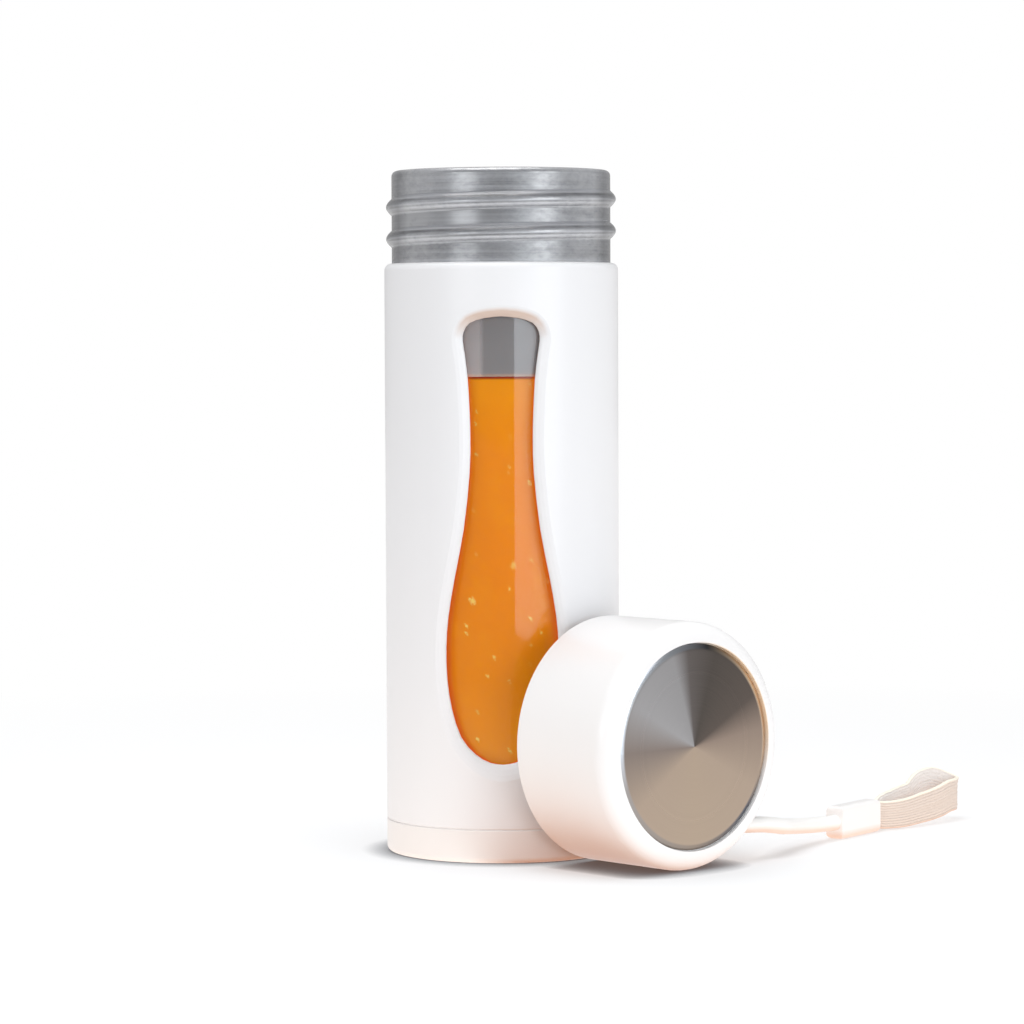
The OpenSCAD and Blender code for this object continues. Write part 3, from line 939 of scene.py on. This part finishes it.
def painted_lip_shade(f):
    """Painted warm shade on the upper end of the window's sloped lip, in a warm beige."""
    x, y, z = f.axes()
    inward = (x * x + y * y).by("SQRT").short_of(33.85, 0.6)
    upper = z.past(149, 6 / 0.9) * z.short_of(166, 2)
    return inward * upper, linear(214, 192, 178)


def painted_rim_highlight(f):
    """A painted warm highlight on the wall of the cap's recess round the disc, above and at the right."""
    out, turn = round_the_cap(f)
    warm = (0.5 - abs(turn - 0.6) / 0.3).held(4)
    wall = out.past(28.5, 0.33) * out.short_of(29.7, 0.33)
    return wall * warm, linear(240, 214, 184)


def painted_foot_shade(f):
    """Painted warm shade on the clamp's lower edges."""
    _, _, z = f.axes()
    return z.short_of(2.6, 1.67) * 0.75, linear(236, 200, 178)


def floor_seen(f, x, out):
    """The floor as the camera and the glass see it: white, greyer in shadow and where it is hemmed in."""
    far = out.past(200, 350)
    wide = f.node("AmbientOcclusion", {"samples": 8}, {"Distance": 50 * MM}, output=1)
    close = f.node("AmbientOcclusion", {"samples": 8}, {"Distance": 8 * MM}, output=1)
    gentle = x.past(66, 30)
    close = close * close
    close = close + (1 - close) * gentle
    wide = wide + (1 - wide) * gentle * 0.6
    grey = f.mix(close, linear(110, 114, 122), linear(180, 181, 183))
    lit = f.node("BsdfDiffuse", {}, {"Color": grey})
    level = (0.32 + wide * 0.2) * (0.15 + close * 0.85)
    near = f.node("AddShader", {}, [lit, f.glow(level)])
    return f.node("MixShader", {}, [far, near, f.glow((1, 1, 1))])


# The floor's own light on the object, at shares of 400 mm from a place between bottle and cap.
THROWN_STOPS = [
    (0.0, (1.05, 0.86, 0.72)),
    (0.25, (0.9, 0.76, 0.66)),
    (0.45, (0.56, 0.54, 0.53)),
    (1.0, (0.3, 0.3, 0.3)),
]


def floor_thrown(f, x, y, out):
    """The light that the floor throws on the object: warm near it, dimmer and warmer under the cap."""
    side, along = beside_the_cap(x, y)
    beneath = abs(side + 12 * MM).short_of(48, 21.8)
    beneath = beneath * along.short_of(42, 10) * along.past(-20, 10)
    ahead = along.past(34, 10)
    strap = side.past(36, 8) * (1 - ahead)
    tint = f.ramp(THROWN_STOPS, out / (400 * MM))
    tint = f.mix(ahead * out.short_of(150, 50), tint, (0.84, 0.81, 0.79))
    tint = f.mix(strap, tint, (0.88, 0.74, 0.65))
    tint = f.mix(beneath, tint, (0.44, 0.14, 0.03))
    grey = f.mix(beneath, (0.4, 0.4, 0.4), (0.2, 0.1, 0.04))
    return f.node("AddShader", {}, [f.glow(tint), f.node("BsdfDiffuse", {}, {"Color": grey})])


def pale_floor():
    """A pale floor with three looks: as it is seen, as reflections see it, and as it lights the object.

    Reflections see it bright, and dark in front, where the camera stands.
    """
    f = Finish(bpy.data.materials.new("pale_floor"))
    x, y, _ = f.axes()
    from_x, from_y = x - 30 * MM, y + 20 * MM
    out = (from_x * from_x + from_y * from_y).by("SQRT")
    in_front = y.short_of(-120, 250)
    mirrored = f.node("LightPath", output="Is Glossy Ray")
    shine = f.glow(0.95 - in_front * 0.83)
    other = f.node("MixShader", {}, [mirrored, floor_thrown(f, x, y, out), shine])
    f.surface(f.node("MixShader", {}, [f.seen(), other, floor_seen(f, x, out)]))
    return f.owner


# Dressing the model.


def dress(node, material):
    """Gives a CAD node this material."""
    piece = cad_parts[node]
    piece.data.materials.clear()
    piece.data.materials.append(material)
    return piece


def stands_for(piece, material, body, node):
    """Gives a new piece its material and the body it rides on, and hides the CAD node it stands for."""
    piece.data.materials.append(material)
    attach(piece, body)
    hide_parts(node)


cord, cord_path = cord_piece()
band, band_path = band_piece()
rubber = soft_cord()
stands_for(cord, rubber, "strap", "strap_cord")
stands_for(eye_piece(), rubber, "strap", "strap_cord")
stands_for(band, woven_band(), "strap", "strap_ribbon")
stands_for(vessel(), neck_glass(), "bottle", "glass_bottle")
dress("outer_sleeve", moulded("white_sleeve", linear(240, 240, 242), painted_light=painted_lip_shade))
dress("base_cup", moulded("white_base", linear(240, 237, 236)))
dress("cap_shell", moulded("white_cap", linear(243, 242, 242), 0.3, painted_light=painted_rim_highlight))
clamp = dress("strap_ferrule", moulded("white_clamp", linear(246, 244, 243), painted_light=painted_foot_shade))
dress("drink", orange_drink())
dress("cap_disc", spun_steel())
dress("strap_pin", drawn_steel())
rubber_ring = silicone()
for name in ("neck_gasket", "base_pad", "cap_gasket"):
    dress(name, rubber_ring)
dress("cap_inner_plate", moulded("white_liner", linear(232, 232, 232), 0.5))

# Floor, light and world.


def floor_piece():
    """A flat square of floor, 8 m wide and a little under the object."""
    half, drop = 4.0, 0.05 * MM
    corners = [(-half, -half, -drop), (half, -half, -drop), (half, half, -drop), (-half, half, -drop)]
    mesh = bpy.data.meshes.new("floor")
    mesh.from_pydata(corners, [], [(0, 1, 2, 3)])
    mesh.materials.append(pale_floor())
    floor = bpy.data.objects.new("floor", mesh)
    bpy.context.scene.collection.objects.link(floor)


def soft_box(name, turn, distance, low, high, width, radiance, colour):
    """An upright area lamp that faces the bottle, with energy = radiance * pi * area.

    turn is in degrees to the right of the camera's side.
    """
    lamp = bpy.data.lights.new(name, "AREA")
    lamp.shape = "RECTANGLE"
    lamp.size, lamp.size_y = width, high - low
    lamp.energy = radiance * np.pi * width * (high - low)
    lamp.color = colour
    box = bpy.data.objects.new(name, lamp)
    bpy.context.scene.collection.objects.link(box)
    a = np.radians(turn)
    place = Vector((np.sin(a) * distance, -np.cos(a) * distance, (low + high) / 2))
    facing = Vector((0, 0, place.z)) - place
    turned = facing.to_track_quat("-Z", "Y").to_matrix().to_4x4()
    box.matrix_world = Matrix.Translation(place) @ turned
    box.visible_camera = False


def top_box(place, size, radiance):
    """A level area lamp over the object that shines straight down, with energy = radiance * pi * area."""
    lamp = bpy.data.lights.new("top_box", "AREA")
    lamp.shape = "SQUARE"
    lamp.size = size
    lamp.energy = radiance * np.pi * size * size
    box = bpy.data.objects.new("top_box", lamp)
    bpy.context.scene.collection.objects.link(box)
    box.location = place
    box.visible_camera = False


def light_world(ambient, ahead, beside):
    """A world that is white to the camera and through glass, and an even ambient light elsewhere.

    Reflections see one level beside the object and behind it, and another ahead, where the camera stands.
    """
    world = bpy.data.worlds.new("studio")
    bpy.context.scene.world = world
    f = Finish(world)
    mirrored = f.node("LightPath", output="Is Glossy Ray")
    way = f.node("TexCoord", output="Generated")
    y = f.node("SeparateXYZ", {}, [way], output=1)
    front = ((-0.1 - y) / 0.35).held()
    shine = mirrored * ((beside - ambient) - front * (beside - ahead))
    strength = ambient + f.seen() * (1 - ambient) + shine
    f.surface(f.node("Background", {}, {"Color": (1, 1, 1), "Strength": strength}))


floor_piece()
soft_box(
    "key_low",
    turn=36.2,
    distance=0.75,
    low=0.004,
    high=0.175,
    width=0.62,
    radiance=2.45,
    colour=(0.87, 0.945, 1.0),
)
soft_box(
    "key_high",
    turn=47,
    distance=0.75,
    low=0.185,
    high=0.5,
    width=0.37,
    radiance=3.0,
    colour=(0.95, 0.975, 1.0),
)
soft_box(
    "fill_high",
    turn=-38,
    distance=0.9,
    low=0.185,
    high=0.42,
    width=0.4,
    radiance=3.2,
    colour=(0.93, 0.965, 1.0),
)
top_box(place=(-0.1, -0.1, 1.1), size=0.8, radiance=3.7)
light_world(ambient=0.545, ahead=0.085, beside=0.53)

bpy.context.scene.view_settings.view_transform = "Standard"
